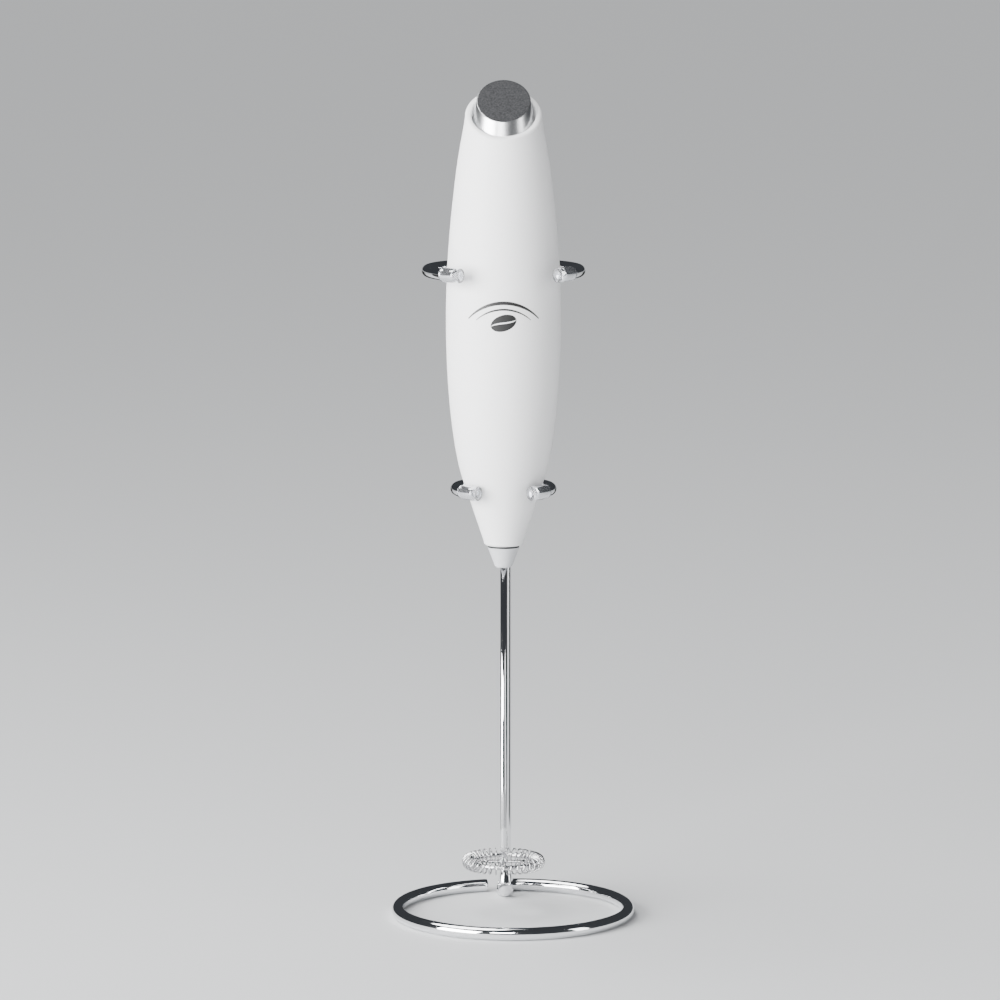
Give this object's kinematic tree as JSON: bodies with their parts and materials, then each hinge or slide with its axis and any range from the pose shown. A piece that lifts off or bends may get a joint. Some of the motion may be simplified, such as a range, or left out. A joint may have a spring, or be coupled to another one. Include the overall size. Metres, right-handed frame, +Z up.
{
  "type": "milk frother",
  "caption": "Battery hand frother with a matte barrel handle, slanted metal push button, thin shaft and coil whisk, held upright in an open chromed wire stand.",
  "frame": {"origin": "centre of the stand's base ring, on the table", "axes": "+Z up along the post, +Y towards the post, the holder rings open towards -Y"},
  "size_m": [0.0768, 0.0768, 0.2628],
  "materials": {
    "chrome_wire": "polished chrome plate",
    "clear_cap": "clear soft vinyl",
    "white_body": "soft-touch matte white",
    "grey_nose": "satin light grey",
    "black_seal": "matte",
    "satin_metal": "bead-blasted satin",
    "dark_plastic": "moulded",
    "tray_plastic": "moulded",
    "cell_jacket": "plain blue jacket without print",
    "nickel": "nickel plated",
    "brass": "machined",
    "copper_wire": "enamelled winding",
    "magnet": "dull ferrite",
    "red_wire": "insulation",
    "black_wire": "insulation"
  },
  "bodies": {
    "stand": {"stand_base_ring": "chrome_wire", "stand_post": "chrome_wire", "upper_holder_ring": "chrome_wire", "lower_holder_ring": "chrome_wire", "lower_ring_stub": "chrome_wire", "upper_tip_cap_left": "clear_cap", "upper_tip_cap_right": "clear_cap", "lower_tip_cap_left": "clear_cap", "lower_tip_cap_right": "clear_cap"},
    "frother": {"handle_shell": "white_body", "nose_cone": "grey_nose", "nose_seal": "black_seal", "nose_bush": "brass", "battery_tray": "tray_plastic", "battery_cell_left": "cell_jacket", "battery_cell_right": "cell_jacket", "battery_bridge": "nickel", "bridge_spring": "nickel", "positive_contact": "nickel", "negative_contact": "nickel", "negative_spring": "nickel", "switch_plate": "dark_plastic", "switch_housing": "dark_plastic", "switch_screws": "nickel", "button_spring": "nickel", "motor_can": "nickel", "motor_end_cap": "tray_plastic", "motor_magnets": "magnet", "motor_brushes": "copper_wire", "motor_terminals": "brass", "motor_cradle": "tray_plastic", "red_lead": "red_wire", "black_lead": "black_wire"},
    "battery_cover": {"battery_cover": "white_body"},
    "button": {"push_button": "satin_metal", "switch_plunger": "dark_plastic"},
    "rotor": {"motor_armature": "nickel", "armature_windings": "copper_wire", "motor_commutator": "copper_wire", "motor_shaft": "nickel", "shaft_coupler": "brass", "whisk_shaft": "chrome_wire", "whisk_ring": "chrome_wire", "whisk_coil": "chrome_wire"}
  },
  "joints": [
    {"name": "frother_lift", "type": "slide", "parent": "stand", "child": "frother", "axis": [0, 0, 1], "range_m": [0, 0.11]},
    {"name": "cover_slide", "type": "slide", "parent": "frother", "child": "battery_cover", "axis": [0, 0, 1], "range_m": [0, 0.1]},
    {"name": "button_press", "type": "slide", "parent": "frother", "child": "button", "axis": [0, 0, -1], "range_m": [0, 0.0012], "stiffness_N_per_m": 800, "springref_m": -0.001, "deforming": ["button_spring"]},
    {"name": "whisk_spin", "type": "hinge", "parent": "frother", "child": "rotor", "pos_m": [-0.003, 0.0062, 0.0159], "axis": [0, 0, 1], "continuous": true}
  ]
}
